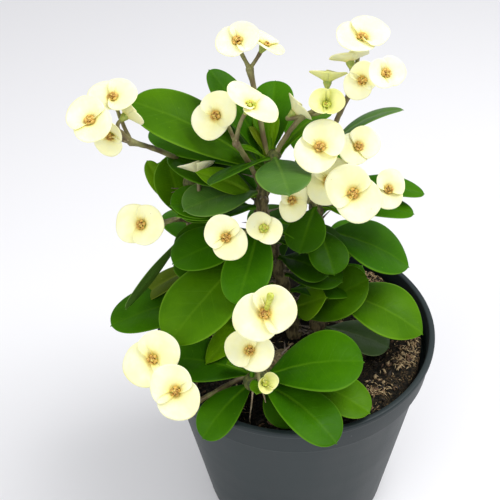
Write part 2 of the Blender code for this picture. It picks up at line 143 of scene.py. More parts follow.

# Leaves too many for the CAD model's list: cane, height, heading, pitch, length, width, arch, roll, tone. A deep tone
# here is painted shade, and a bright tone is partly painted light.
SMALL_LEAVES = {
    "leaf_curved_right": ("centre", 189, 40, 13, 28, 7, 4, 0, "fresh"),
    "leaf_crown_left": ("centre", 190, 120, 50, 14, 5, 1, 0, "fresh"),
    "leaf_crown_middle": ("centre", 190, 95, 62, 15, 6, 1, 0, "fresh"),
    "leaf_crown_right": ("centre", 190, 60, 68, 13, 4, 1, 0, "bright"),
    "leaf_crown_inner": ("centre", 189, 150, 58, 12, 4, 1, 0, "olive"),
    "leaf_crown_low": ("centre", 188, 200, 40, 13, 5, 1, 0, "fresh"),
    "leaf_far_left_olive": ("left", 155, 152, 54, 25, 8, 1, -50, "bright"),
    "leaf_inner_bright": ("centre", 171, 198, 38, 28, 9, 2, -50, "bright"),
    "leaf_inner_narrow": ("centre", 189, 222, 7, 29, 11, 1, 25, "deep"),
    "leaf_behind_left": ("centre", 172, 172, 24, 36, 22, 2, 0, "deep"),
    "leaf_behind_left_low": ("left", 158, 120, 20, 22, 18, 2, 0, "deep"),
    "leaf_left_cane_front": ("left", 160, -70, 20, 20, 16, 2, 0, "deep"),
    "leaf_left_cane_low": ("left", 140, -95, 0, 22, 18, 2, 0, "deep"),
    "leaf_left_cane_middle": ("centre", 150, 190, 0, 34, 20, 2, -20, "deep"),
    "leaf_low_olive": ("left", 130, 192, -24, 31, 13, 2, 0, "olive"),
    "leaf_low_bright": ("centre", 119, 229, -4, 46, 14, 3, 0, "bright"),
    "leaf_front_over": ("centre", 159, -106, -17, 37, 19, 3, 0, "mid"),
    "leaf_right_over": ("centre", 104, -14, 42, 38, 22, 2, 35, "fresh"),
    "leaf_right_cane_front": ("right", 160, -110, -15, 22, 16, 2, 0, "deep"),
    "leaf_right_cane_low": ("right", 150, -78, -16, 22, 16, 2, 0, "deep"),
    "leaf_centre_behind": ("centre", 146, -8, -4, 28, 20, 2, 0, "deep"),
    "leaf_front_dark": ("front", 106, -78, -20, 24, 18, 2, 0, "deep"),
    "leaf_front_crown": ("front", 111, -105, 22, 13, 7, 1, 0, "fresh"),
    "leaf_front_crown_left": ("front", 111, -165, 40, 11, 5, 1, 0, "fresh"),
    "leaf_front_crown_back": ("front", 112, 60, 60, 10, 5, 1, 0, "mid"),
    "leaf_under_cluster": ("right", 160, -30, 4, 16, 8, 1, 0, "fresh"),
    "leaf_second_left": ("centre", 166, 203, 12, 32, 17, 2, 0, "mid"),
    "leaf_inner_left": ("centre", 125, 195, 14, 32, 18, 2, 0, "deep"),
    "leaf_inner_middle": ("centre", 128, -25, 10, 24, 18, 2, 0, "deep"),
    "leaf_inner_lower": ("centre", 118, -10, 8, 26, 18, 2, 0, "mid"),
    "leaf_low_second": ("centre", 103, -12, 24, 22, 15, 2, 0, "mid"),
    "leaf_back_high": ("centre", 180, 110, 10, 34, 18, 3, 0, "mid"),
    "leaf_back_middle": ("right", 172, 100, 14, 32, 17, 3, 0, "mid"),
    "leaf_back_low": ("centre", 128, 95, 6, 38, 20, 3, 0, "deep"),
    "leaf_back_low_right": ("right", 124, 60, 2, 34, 19, 3, 0, "mid"),
    "leaf_back_low_left": ("left", 130, 120, 4, 34, 19, 3, 0, "mid"),
}

# The tone of each large leaf that isn't of the ordinary mid green, and the leaves with a pointed end. The deep tone is
# painted shade, the bright tone is partly painted light, and the blue and grey tones hold a painted sheen.
LEAF_TONES = {
    "leaf_upper_left": "fresh",
    "leaf_upper_left_lower": "mid",
    "leaf_mid_front_left": "sheen_blue",
    "leaf_top_front": "sheen_blue",
    "leaf_big_front_left": "fresh",
    "leaf_left_rounded": "mid",
    "leaf_left_dark": "mid",
    "leaf_inner_right": "deep",
    "leaf_left_upright": "fresh",
    "leaf_left_edge_on": "sheen_blue",
    "leaf_right_bright": "fresh",
    "leaf_front_right_low": "fresh",
    # Painted light: this leaf's paler tone stands in for the light that falls on it.
    "leaf_low_inner": "bright",
    "leaf_right_low": "grey",
    "leaf_right_inner": "mid",
    "leaf_far_left": "mid",
    "leaf_top_right": "sheen_blue",
}
POINTED_LEAVES = {
    "leaf_right_bright",
    "leaf_low_inner",
    "leaf_centre_right",
    "leaf_right_inner",
    "leaf_right_high",
    "leaf_low_bright",
    "leaf_inner_bright",
    "leaf_second_left",
}

# Spray of flower heads: cane, height where its stalk leaves the cane, and the point where it forks.
SPRAYS = {
    "left_spray": ("left", 177, (-60, -6, 203)),
    "top_spray": ("centre", 184, (-16, 10, 222)),
    "upper_spray": ("centre", 173, (-22, -8, 202)),
    "crown_spray": ("centre", 188, (3, 4, 205)),
    "top_right_spray": ("right", 184, (21, 12, 209)),
    "right_spray": ("right", 170, (19, 3, 180)),
    "far_left_spray": ("left", 150, (-52, 0, 160)),
    "middle_spray": ("centre", 154, (-16, -14, 166)),
    "inner_spray": ("right", 158, (4, -2, 170)),
    "front_spray": ("front", 108, (-16, -40, 130)),
    "low_left_spray": ("front", 97, (-44, -47, 104.5)),
}

# Flower head: spray, centre of its bracts, azimuth and elevation that it faces, diameter, turn of the
# pair of bracts about the facing line, and rise of the bract edges above the centre.
HEADS = {
    "head_left_outer": ("left_spray", (-72, -15, 219), -110, 58, 19, -40, 1.0),
    "head_left_upper": ("left_spray", (-65, -2, 220), -100, 68, 18, 10, 1.0),
    "head_left_lower": ("left_spray", (-66, -14, 211), -105, 5, 14, 85, 2.0),
    "head_top_left": ("top_spray", (-20, 6, 236), -100, 58, 16, 30, 1.0),
    "head_top_right": ("top_spray", (-10, 12, 231), 10, 60, 16, 20, 1.0),
    "head_upper_left": ("upper_spray", (-29, -3, 211), -115, 35, 19, 60, 1.5),
    "head_upper_right": ("upper_spray", (-16, -9, 219), -10, 60, 21, 77, 1.5),
    "head_crown_young": ("crown_spray", (11, -3, 214), -95, 55, 13, 0, 3.0),
    "head_crown_back": ("crown_spray", (12, 6, 219), 80, 60, 14, 0, 2.5),
    "head_right_peak": ("top_right_spray", (24, 8, 234.5), -75, 74, 20, 15, 1.5),
    "head_right_high": ("top_right_spray", (31, -6.5, 228), -65, 48, 14.5, 0, 1.0),
    "head_right_side": ("top_right_spray", (23.5, -1, 222), -115, 26, 14.5, 65, 2.0),
    "head_cluster_left": ("right_spray", (8, -12, 202), -95, 50, 21, 60, 1.5),
    "head_cluster_back": ("right_spray", (23, -4, 196), -75, 50, 17, 20, 1.0),
    "head_cluster_front": ("right_spray", (20, -18, 185), -95, 35, 23, -50, 2.0),
    "head_cluster_right": ("right_spray", (35, -6, 177), -70, 42, 16, 60, 1.0),
    "head_far_left": ("far_left_spray", (-60, -8, 166), -120, 42, 21, 10, 1.5),
    "head_middle_left": ("middle_spray", (-27, -26, 173), -90, 35, 18, -55, 1.5),
    "head_middle_young": ("middle_spray", (-13, -24, 175), -80, 42, 14, -35, 1.5),
    "head_middle_right": ("inner_spray", (-2, -12, 178), -60, 20, 16, 70, 1.5),
    "head_front_upper": ("front_spray", (-14, -48, 155), -90, 42, 24, 25, 2.0),
    "head_front_lower": ("front_spray", (-20, -50, 138), -90, 40, 19, -25, 1.0),
    "head_low_left_back": ("low_left_spray", (-57, -46, 131), -110, 48, 24, 50, 1.5),
    "head_low_left_front": ("low_left_spray", (-48, -60, 128), -95, 40, 22, -60, 2.0),
}

# Heads and buds too small for the CAD model's list, in the same form.
SMALL_HEADS = {
    "head_left_back": ("left_spray", (-60.5, -3, 213), 45, 18, 13, 60, 2.0),
    "head_left_faded": ("far_left_spray", (-37.4, 0.5, 184), 100, 50, 15, 5, 3.0),
    "head_crown_white": ("crown_spray", (0.5, 6, 206), 25, 30, 13, 30, 2.5),
    "head_top_right_back": ("top_right_spray", (20, 9, 225), 100, 46, 15, 0, 1.5),
    "head_cluster_hidden": ("right_spray", (12, -7, 182.5), -95, 38, 19, 60, 1.5),
    "head_front_bud": ("front_spray", (-14.5, -50, 119.5), -60, 45, 9, 20, 3.5),
}
HEAD_KINDS = {
    "head_crown_young": "young",
    "head_crown_back": "young",
    "head_middle_young": "green_eyed",
    "head_front_bud": "young",
    "head_upper_right": "green_eyed",
}
BUDDING_HEADS = {"head_front_upper"}

# Light and camera. The lens is in millimetres on a 36 mm sensor.
KEY_POWER = 3.7
FILL_POWER = 3.4
SKY_STRENGTH = 0.59
LENS = 72
CAMERA_PLACE = (-18.4, -306.8, 408.7)
CAMERA_PITCH = 40.78
CAMERA_ROLL = -2.18


# ---------------------------------------------------------------------------------------------
# Lines and meshes
# ---------------------------------------------------------------------------------------------


def facing(azimuth, elevation):
    """The unit vector with this azimuth and elevation in degrees."""
    turn, lift = math.radians(azimuth), math.radians(elevation)
    return Vector((math.cos(lift) * math.cos(turn), math.cos(lift) * math.sin(turn), math.sin(lift)))


def smoothstep(value, low, high):
    share = min(max((value - low) / (high - low), 0), 1)
    return share * share * (3 - 2 * share)


def on_spline(path, share):
    """The point at this share of a smooth line (Catmull-Rom) through the path's points."""
    last = len(path) - 1
    place = min(max(share, 0), 0.9999) * last
    index = int(place)
    t = place - index
    b, c = Vector(path[index]), Vector(path[index + 1])
    a = Vector(path[index - 1]) if index > 0 else 2 * b - c
    d = Vector(path[index + 2]) if index + 2 <= last else 2 * c - b
    return 0.5 * (2 * b + (c - a) * t + (2 * a - 5 * b + 4 * c - d) * t * t + (3 * b - a - 3 * c + d) * t**3)


def cane_point(cane, height):
    """The point of the cane's centre line at this height above the floor."""
    low, high = 0.0, 1.0
    for _ in range(30):
        middle = (low + high) / 2
        if on_spline(CANES[cane], middle).z < height:
            low = middle
        else:
            high = middle
    return on_spline(CANES[cane], low)


def cane_radius(height):
    """A cane's radius, from its foot at the soil to the tip of the tallest one."""
    share = min(max((height - CROWN) / (TALLEST_TIP - CROWN), 0), 1)
    return CANE_FOOT_RADIUS + (CANE_TOP_RADIUS - CANE_FOOT_RADIUS) * share


def bezier(start, pull, end, share):
    """The point at this share of the quadratic curve from start to end, pulled towards pull."""
    return start * (1 - share) ** 2 + pull * 2 * share * (1 - share) + end * share**2


def new_mesh():
    """An empty mesh in the making, with the two layers that the materials read."""
    bm = bmesh.new()
    bm.verts.layers.float_vector.new("place")
    bm.verts.layers.float.new("under")
    return bm


def loft(bm, rings, material=0):
    """Skins closed rings into one closed form. A ring point is (position in mm, place, under)."""
    place = bm.verts.layers.float_vector["place"]
    under = bm.verts.layers.float["under"]
    loops = []
    for ring in rings:
        loop = []
        for position, noted, below in ring:
            vert = bm.verts.new(Vector(position) * MM)
            vert[place] = noted
            vert[under] = below
            loop.append(vert)
        loops.append(loop)
    faces = [bm.faces.new(list(reversed(loops[0]))), bm.faces.new(loops[-1])]
    for low, high in zip(loops, loops[1:]):
        for index in range(len(low)):
            after = (index + 1) % len(low)
            faces.append(bm.faces.new((low[index], low[after], high[after], high[index])))
    for face in faces:
        face.smooth = True
        face.material_index = material


def frames_along(points):
    """A direction and two directions across it at each point of a line, with no sudden turn."""
    made = []
    side = None
    for index, point in enumerate(points):
        ahead = points[min(index + 1, len(points) - 1)] - points[max(index - 1, 0)]
        ahead.normalize()
        if side is None:
            side = ahead.orthogonal().normalized()
        side = (side - ahead * side.dot(ahead)).normalized()
        made.append((ahead, side, ahead.cross(side)))
    return made


def tube(bm, points, radii, sides, material=0, roughness=0.0):
    """A closed tube through the points, in millimetres. roughness is how far its skin wanders."""
    rings = []
    last = len(points) - 1
    for index, (point, radius, (_, side, other)) in enumerate(zip(points, radii, frames_along(points))):
        ring = []
        for step in range(sides):
            angle = 2 * math.pi * step / sides
            out = side * math.cos(angle) + other * math.sin(angle)
            wander = roughness * noise.noise((Vector(point) + out * radius) * 0.45)
            ring.append((point + out * (radius + wander), (index / last, step / sides, radius), 0))
        rings.append(ring)
    loft(bm, rings, material)


def blob(bm, centre, along, radii, material=0, place=(0, 0, 0)):
    """A small rounded lump with its own length, breadth and height, lying along a direction."""
    ahead = along.normalized()
    turn = ahead.to_track_quat("X", "Z").to_matrix().to_4x4()
    sized = Matrix.Diagonal((*[radius * MM for radius in radii], 1))
    matrix = Matrix.Translation(Vector(centre) * MM) @ turn @ sized
    made = bmesh.ops.create_icosphere(bm, subdivisions=2, radius=1, matrix=matrix)
    layer = bm.verts.layers.float_vector["place"]
    for vert in made["verts"]:
        vert[layer] = place
        for face in vert.link_faces:
            face.material_index = material
            face.smooth = True


def finished(bm, name, finishes, node=None):
    """The mesh as a piece of the scene that rides on the object and stands for its CAD node."""
    mesh = bpy.data.meshes.new(name)
    bm.to_mesh(mesh)
    bm.free()
    for finish in finishes:
        mesh.materials.append(finish)
    piece = bpy.data.objects.new(name, mesh)
    bpy.context.scene.collection.objects.link(piece)
    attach(piece, "root")
    if node:
        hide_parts(node)
    return piece


# ---------------------------------------------------------------------------------------------
# Materials
# ---------------------------------------------------------------------------------------------


class Shading:
    """A material in the making, with a short word for each kind of node that the finishes need."""

    def __init__(self, name):
        self.material = bpy.data.materials.new(name)
        self.material.use_nodes = True
        self.tree = self.material.node_tree
        self.shader = self.tree.nodes["Principled BSDF"]
        self.coordinates = self.tree.nodes.new("ShaderNodeTexCoord").outputs["Object"]

    def put(self, socket, value):
        """Sets the socket to a number or colour, or links another node's output to it."""
        if isinstance(value, bpy.types.NodeSocket):
            self.tree.links.new(value, socket)
        elif hasattr(value, "__len__") and len(value) == 3 and socket.type == "RGBA":
            socket.default_value = (*value, 1)
        else:
            socket.default_value = value

    def set(self, **values):
        """Sets the shader's own sockets, with _ for each space in a name."""
        for name, value in values.items():
            self.put(self.shader.inputs[name.replace("_", " ")], value)

    def attribute(self, name):
        made = self.tree.nodes.new("ShaderNodeAttribute")
        made.attribute_name = name
        return made

    def place(self):
        """The three numbers of the mesh's place layer."""
        parts = self.tree.nodes.new("ShaderNodeSeparateXYZ")
        self.put(parts.inputs[0], self.attribute("place").outputs["Vector"])
        return parts.outputs

    def sum(self, operation, a, b=0.0):
        made = self.tree.nodes.new("ShaderNodeMath")
        made.operation = operation
        self.put(made.inputs[0], a)
        self.put(made.inputs[1], b)
        return made.outputs[0]

    def remap(self, value, low, high, to_low=0.0, to_high=1.0):
        made = self.tree.nodes.new("ShaderNodeMapRange")
        made.interpolation_type = "SMOOTHSTEP"
        for index, number in enumerate((value, low, high, to_low, to_high)):
            self.put(made.inputs[index], number)
        return made.outputs[0]

    def noise(self, scale, detail=3.0, stretch=None):
        """Cloudy noise, with features about 1/scale metres across."""
        made = self.tree.nodes.new("ShaderNodeTexNoise")
        where = self.coordinates
        if stretch:
            mapping = self.tree.nodes.new("ShaderNodeMapping")
            mapping.inputs["Scale"].default_value = stretch
            self.put(mapping.inputs[0], where)
            where = mapping.outputs[0]
        self.put(made.inputs["Vector"], where)
        made.inputs["Scale"].default_value = scale
        made.inputs["Detail"].default_value = detail
        return made.outputs["Fac"]

    def cells(self, scale):
        """Distance from the nearest of many scattered points, about 1/scale metres apart."""
        made = self.tree.nodes.new("ShaderNodeTexVoronoi")
        self.put(made.inputs["Vector"], self.coordinates)
        made.inputs["Scale"].default_value = scale
        return made.outputs["Distance"]

    def mix(self, share, low, high):
        made = self.tree.nodes.new("ShaderNodeMix")
        made.data_type = "RGBA"
        self.put(made.inputs["Factor"], share)
        colours = [socket for socket in made.inputs if socket.type == "RGBA"]
        self.put(colours[0], low)
        self.put(colours[1], high)
        return [socket for socket in made.outputs if socket.type == "RGBA"][0]

    def bump(self, height, distance, strength=1.0):
        made = self.tree.nodes.new("ShaderNodeBump")
        made.inputs["Strength"].default_value = strength
        made.inputs["Distance"].default_value = distance
        self.put(made.inputs["Height"], height)
        self.put(self.shader.inputs["Normal"], made.outputs[0])


# Leaf tones: colour in the hollows of the pattern, colour of the brighter patches, colour of the veins. The deep tone
# is a darker copy of the green: painted shade for the inner and back leaves that lie in shade.
TONES = {
    "deep": ((0.015, 0.060, 0.0006), (0.034, 0.115, 0.0008), (0.07, 0.18, 0.004)),
    "mid": ((0.020, 0.090, 0.0006), (0.044, 0.155, 0.0008), (0.09, 0.23, 0.006)),
    "fresh": ((0.032, 0.110, 0.0006), (0.072, 0.190, 0.0008), (0.13, 0.28, 0.01)),
    # A yellow-green of young leaves, also used as painted light on leaf_low_inner, which lies in shade.
    "bright": ((0.058, 0.155, 0.0008), (0.125, 0.270, 0.001), (0.20, 0.37, 0.015)),
    "olive": ((0.050, 0.088, 0.001), (0.105, 0.155, 0.002), (0.18, 0.24, 0.02)),
    # The blue and grey tones: the bluish grey tint in their base colour is a painted sheen, besides their higher
    # specular level in LEAF_SHINE.
    "sheen_blue": ((0.034, 0.102, 0.012), (0.068, 0.165, 0.018), (0.13, 0.25, 0.03)),
    "grey": ((0.055, 0.115, 0.034), (0.100, 0.175, 0.055), (0.17, 0.25, 0.09)),
}


def leaf_finish(tone):
    """Waxy leaf skin: mottled green, a pale midrib, faint side veins, a thin pale margin and a dull underside."""
    deep, fresh, vein = TONES[tone]
    shading = Shading("leaf_" + tone)
    share, side, offset = shading.place()
    patches = shading.remap(shading.noise(55, 4), 0.35, 0.68)
    towards_tip = shading.remap(share, 0.15, 0.95)
    blend = shading.sum("MULTIPLY_ADD", patches, 0.55)
    shading.put(blend.node.inputs[2], shading.sum("MULTIPLY", towards_tip, 0.4))
    colour = shading.mix(blend, deep, fresh)
    slant = shading.sum("SUBTRACT", shading.sum("MULTIPLY", share, 9.0), shading.sum("MULTIPLY", side, 1.7))
    wave = shading.sum("ABSOLUTE", shading.sum("SINE", shading.sum("MULTIPLY", slant, math.pi)))
    ribs = shading.sum("MULTIPLY", shading.remap(wave, 0.0, 0.22, 1.0, 0.0), shading.remap(side, 0.95, 0.3, 0.0, 0.10))
    colour = shading.mix(ribs, colour, vein)
    midrib = shading.sum("MULTIPLY", shading.remap(offset, 0.15, 0.9, 1.0, 0.0), shading.remap(share, 0.0, 1.0, 0.6, 0.15))
    colour = shading.mix(midrib, colour, vein)
    margin = shading.sum("MULTIPLY", shading.remap(side, 0.92, 1.0), 0.8)
    colour = shading.mix(margin, colour, vein)
    flecks = shading.sum("MULTIPLY", shading.remap(shading.cells(260), 0.1, 0.05), 0.35)
    colour = shading.mix(flecks, colour, vein)
    under = shading.attribute("under").outputs["Fac"]
    colour = shading.mix(shading.sum("MULTIPLY", under, 0.45), colour, (0.13, 0.25, 0.04))
    roughness = shading.remap(shading.noise(120, 3), 0.3, 0.7, 0.34, 0.5)
    shading.set(Base_Color=colour, Roughness=roughness, Specular_IOR_Level=LEAF_SHINE[tone])
    relief = shading.sum("ADD", shading.noise(420, 2), shading.sum("MULTIPLY", ribs, -3.0))
    relief = shading.sum("ADD", relief, shading.sum("MULTIPLY", midrib, -1.5))
    shading.bump(relief, 0.00022, 0.6)
    return shading.material


def bract_finish(name, pale, rich, base):
    """Soft bract skin: cream, richer towards the middle and the very edge, and green-gold in the throat."""
    shading = Shading(name)
    share, angle, height = shading.place()
    clouds = shading.remap(shading.noise(140, 3), 0.3, 0.7)
    colour = shading.mix(shading.sum("MULTIPLY", clouds, 0.6), pale, rich)
    colour = shading.mix(shading.remap(share, 0.62, 0.2, 0.0, 0.7), colour, rich)
    colour = shading.mix(shading.remap(share, 0.36, 0.13, 0.0, 0.95), colour, base)
    ray = shading.sum("ABSOLUTE", shading.sum("SINE", shading.sum("MULTIPLY", angle, 34.0)))
    rays = shading.sum("MULTIPLY", shading.remap(ray, 0.0, 0.3, 1.0, 0.0), shading.remap(share, 0.2, 0.7, 0.22, 0.0))
    colour = shading.mix(rays, colour, base)
    edge = shading.remap(share, 0.95, 1.0, 0.0, 0.35)
    colour = shading.mix(edge, colour, rich)
    specks = shading.sum("MULTIPLY", shading.remap(shading.cells(150), 0.05, 0.02), 0.35)
    colour = shading.mix(specks, colour, (0.35, 0.22, 0.08))
    shading.set(
        Base_Color=colour,
        Roughness=shading.remap(shading.noise(300, 2), 0.3, 0.7, 0.45, 0.6),
        Specular_IOR_Level=0.1,
        Subsurface_Weight=0.2,
        Subsurface_Radius=(0.9, 0.7, 0.35),
        Subsurface_Scale=0.0015,
    )
    shading.bump(shading.sum("SUBTRACT", shading.noise(500, 3), rays), 0.00012, 0.5)
    return shading.material


def plain_finish(name, low, high, scale, roughness, relief=0.0002, stretch=None, subsurface=0.0):
    """Two colours in a cloudy pattern, with a little relief to match."""
    shading = Shading(name)
    pattern = shading.noise(scale, 5, stretch)
    colour = shading.mix(shading.remap(pattern, 0.35, 0.65), low, high)
    shading.set(Base_Color=colour, Roughness=shading.remap(pattern, 0.3, 0.7, roughness - 0.08, roughness + 0.08))
    if subsurface:
        shading.set(Subsurface_Weight=subsurface, Subsurface_Scale=0.001)
    shading.bump(pattern, relief)
    return shading.material


def bark_finish():
    """Young bark: olive near the growing tips, grey-brown and cracked lengthways lower down."""
    shading = Shading("cane_bark")
    share, _, _ = shading.place()
    cracks = shading.noise(900, 6, (1, 1, 0.25))
    old = shading.mix(shading.remap(cracks, 0.38, 0.62), (0.055, 0.040, 0.018), (0.19, 0.15, 0.072))
    young = shading.mix(shading.remap(cracks, 0.38, 0.62), (0.045, 0.060, 0.014), (0.12, 0.13, 0.035))
    colour = shading.mix(shading.remap(share, 0.55, 0.95), old, young)
    lenticels = shading.remap(shading.cells(420), 0.14, 0.08)
    colour = shading.mix(shading.sum("MULTIPLY", lenticels, 0.5), colour, (0.32, 0.27, 0.17))
    shading.set(Base_Color=colour, Roughness=shading.remap(cracks, 0.3, 0.7, 0.6, 0.85), Specular_IOR_Level=0.3)
    shading.bump(shading.sum("ADD", cracks, lenticels), 0.0005)
    return shading.material


def pot_finish():
    """Dark slate plastic, moulded: faint streaks round and down the wall, a satin skin and a little dust."""
    shading = Shading("pot_plastic")
    streaks = shading.noise(60, 4, (1, 1, 0.08))
    bands = shading.noise(90, 3, (0.1, 0.1, 1))
    both = shading.sum("ADD", shading.sum("MULTIPLY", streaks, 0.6), shading.sum("MULTIPLY", bands, 0.4))
    colour = shading.mix(shading.remap(both, 0.35, 0.65), (0.013, 0.021, 0.023), (0.021, 0.031, 0.033))
    dust = shading.sum("MULTIPLY", shading.remap(shading.cells(130), 0.045, 0.015), 0.5)
    colour = shading.mix(dust, colour, (0.2, 0.21, 0.21))
    roughness = shading.remap(both, 0.3, 0.7, 0.42, 0.54)
    shading.set(Base_Color=colour, Roughness=roughness, Specular_IOR_Level=0.25)
    grain = shading.noise(1800, 2)
    shading.bump(shading.sum("ADD", grain, shading.sum("MULTIPLY", streaks, 2.0)), 0.00006, 0.6)
    return shading.material


def soil_finish():
    """Peaty mix: near-black crumbs with rust and tan flecks, drier and paler near the right of the pot."""
    shading = Shading("potting_soil")
    position = shading.tree.nodes.new("ShaderNodeSeparateXYZ")
    shading.put(position.inputs[0], shading.coordinates)
    crumbs = shading.noise(700, 8)
    colour = shading.mix(shading.remap(crumbs, 0.42, 0.62), (0.0030, 0.0035, 0.0022), (0.017, 0.013, 0.0075))
    dry = shading.sum("MULTIPLY", shading.remap(shading.noise(190, 4), 0.45, 0.62), shading.remap(position.outputs["X"], 0.015, 0.055))
    fibres = shading.remap(shading.noise(1500, 4), 0.5, 0.66)
    colour = shading.mix(shading.sum("MULTIPLY", dry, fibres), colour, (0.22, 0.145, 0.065))
    rust = shading.sum("MULTIPLY", shading.remap(shading.noise(1100, 4), 0.58, 0.7), 0.3)
    colour = shading.mix(rust, colour, (0.11, 0.05, 0.02))
    shading.set(Base_Color=colour, Roughness=0.95, Specular_IOR_Level=0.2)
    shading.bump(crumbs, 0.0016)
    return shading.material


def floor_finish():
    """A plain pale matte surface."""
    shading = Shading("studio_floor")
    shading.set(Base_Color=(0.86, 0.86, 0.88), Roughness=0.9, Specular_IOR_Level=0.1)
    return shading.material


# ---------------------------------------------------------------------------------------------
# Pot and soil
# ---------------------------------------------------------------------------------------------


def wall_radius(height):
    """The pot's outer radius below its band."""
    shoulder = POT_HEIGHT - BAND_HEIGHT
    slope = (RIM_RADIUS - BAND_STEP - POT_BASE_RADIUS) / shoulder
    return POT_BASE_RADIUS + slope * height


def rounded(profile, radius, steps=4):
    """The profile with each inner corner replaced by a short curve that starts this far from it."""
    made = [Vector(profile[0])]
    for before, corner, after in zip(profile, profile[1:], profile[2:]):
        before, corner, after = Vector(before), Vector(corner), Vector(after)
        back = min(radius, (before - corner).length * 0.45)
        ahead = min(radius, (after - corner).length * 0.45)
        start = corner + (before - corner).normalized() * back
        end = corner + (after - corner).normalized() * ahead
        made += [bezier(start, corner, end, step / steps) for step in range(steps + 1)]
    return made + [Vector(profile[-1])]


def turned(name, profile, finish):
    """A solid of revolution about Z from a profile of (radius, height) that runs down its outer side."""
    bm = bmesh.new()
    points = [bm.verts.new((point[0] * MM, 0, point[1] * MM)) for point in profile]
    for start, end in zip(points, points[1:]):
        bm.edges.new((start, end))
    mesh = bpy.data.meshes.new(name)
    bm.to_mesh(mesh)
    bm.free()
    mesh.materials.append(finish)
    piece = bpy.data.objects.new(name, mesh)
    bpy.context.scene.collection.objects.link(piece)
    screw = piece.modifiers.new("Turn", "SCREW")
    screw.axis = "Z"
    screw.steps = POT_SIDES
    screw.render_steps = POT_SIDES
    screw.use_merge_vertices = True
    screw.merge_threshold = 0.00005
    return piece


def drill(piece, radius, place, low, high):
    """Cuts an upright round hole through the piece at the (x, y) place."""
    bm = bmesh.new()
    matrix = Matrix.Translation(Vector((place[0], place[1], (low + high) / 2)) * MM)
    bmesh.ops.create_cone(
        bm,
        cap_ends=True,
        segments=32,
        radius1=radius * MM,
        radius2=radius * MM,
        depth=(high - low) * MM,
        matrix=matrix,
    )
    mesh = bpy.data.meshes.new("drill")
    bm.to_mesh(mesh)
    bm.free()
    cutter = bpy.data.objects.new("drill", mesh)
    bpy.context.scene.collection.objects.link(cutter)
    boolean = piece.modifiers.new("Drill", "BOOLEAN")
    boolean.operation = "DIFFERENCE"
    boolean.solver = "EXACT"
    boolean.object = cutter
    return cutter


def apply_modifiers(piece, helpers=()):
    """Makes the piece's modifiers part of its mesh, and removes the objects that they needed."""
    graph = bpy.context.evaluated_depsgraph_get()
    made = bpy.data.meshes.new_from_object(piece.evaluated_get(graph))
    piece.modifiers.clear()
    piece.data = made
    for helper in helpers:
        bpy.data.objects.remove(helper)


def make_pot():
    """A thin tapering shell with a wide band under its rim and a ring of drainage holes in its floor."""
    shoulder = POT_HEIGHT - BAND_HEIGHT
    band_inner = RIM_RADIUS - RIM_LIP - WALL
    profile = [
        (0, FLOOR_THICKNESS),
        (wall_radius(FLOOR_THICKNESS) - WALL, FLOOR_THICKNESS),
        (wall_radius(shoulder) - WALL, shoulder),
        (band_inner - 1.0, shoulder + 2.0),
        (band_inner, POT_HEIGHT - 0.5),
        (band_inner + 0.5, POT_HEIGHT),
        (RIM_RADIUS - 0.5, POT_HEIGHT),
        (RIM_RADIUS, POT_HEIGHT - 0.5),
        (RIM_RADIUS, POT_HEIGHT - 2.5),
        (RIM_RADIUS - RIM_LIP, POT_HEIGHT - 3.2),
        (RIM_RADIUS - RIM_LIP - 0.8, shoulder),
        (wall_radius(shoulder), shoulder - 0.8),
        (POT_BASE_RADIUS + 0.3, 1.5),
        (POT_BASE_RADIUS - 1.0, 0),
        (0, 0),
    ]
    pot = turned("nursery_pot", rounded(profile, 0.7), pot_finish())
    drills = []
    for number in range(DRAIN_HOLES):
        angle = 2 * math.pi * (number + 0.13) / DRAIN_HOLES
        place = (DRAIN_RING * math.cos(angle), DRAIN_RING * math.sin(angle))
        drills.append(drill(pot, DRAIN_RADIUS, place, -1, FLOOR_THICKNESS + 1))
    apply_modifiers(pot, drills)
    pot.data.shade_smooth()
    pot.data.set_sharp_from_angle(angle=math.radians(50))
    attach(pot, "root")
    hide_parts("pot")


def soil_height(x, y):
    """The height of the soil's surface at (x, y), in millimetres, with its mound, hollows and crumbs."""
    radius = math.hypot(x, y)
    edge = wall_radius(POT_HEIGHT - BAND_HEIGHT) - WALL
    mound = SOIL_MOUND * (1 - smoothstep(radius, 15, 50))
    place = Vector((x, y, 0))
    hollows = 0.8 * noise.noise(place * 0.07)
    clods = 0.9 * noise.noise(place * 0.22) + 0.55 * abs(noise.noise(place * 0.6))
    crumbs = 0.35 * noise.noise(place * 1.6)
    bank = SOIL_BANK * smoothstep(radius, 28, 50) * smoothstep(x - 0.4 * y, -10, 35)
    sunk = -1.2 * smoothstep(radius, edge - 2.5, edge)
    return SOIL_TOP + mound + bank + (hollows + clods + crumbs) * (1 - smoothstep(radius, edge - 1, edge)) + sunk


def make_soil(finish):
    """The potting mix: a crumbly top over a plain body that fills the pot."""
    bm = new_mesh()
    edge = wall_radius(POT_HEIGHT - BAND_HEIGHT) - WALL - 0.15
    bottom = FLOOR_THICKNESS + FIT_GAP
    sides, steps = 160, 62
    levels = [(wall_radius(bottom) - WALL - FIT_GAP, bottom), (edge, POT_HEIGHT - BAND_HEIGHT)]
    rings = []
    for radius, height in levels:
        angles = [2 * math.pi * number / sides for number in range(sides)]
        rings.append([((radius * math.cos(a), radius * math.sin(a), height), (0, 0, 0), 0) for a in angles])
    for step in range(steps):
        radius = edge * (1 - step / steps)
        ring = []
        for number in range(sides):
            angle = 2 * math.pi * number / sides
            x, y = radius * math.cos(angle), radius * math.sin(angle)
            ring.append(((x, y, soil_height(x, y)), (0, 0, 0), 0))
        rings.append(ring)
    loft(bm, rings)
    finished(bm, "potting_mix", [finish], "soil")


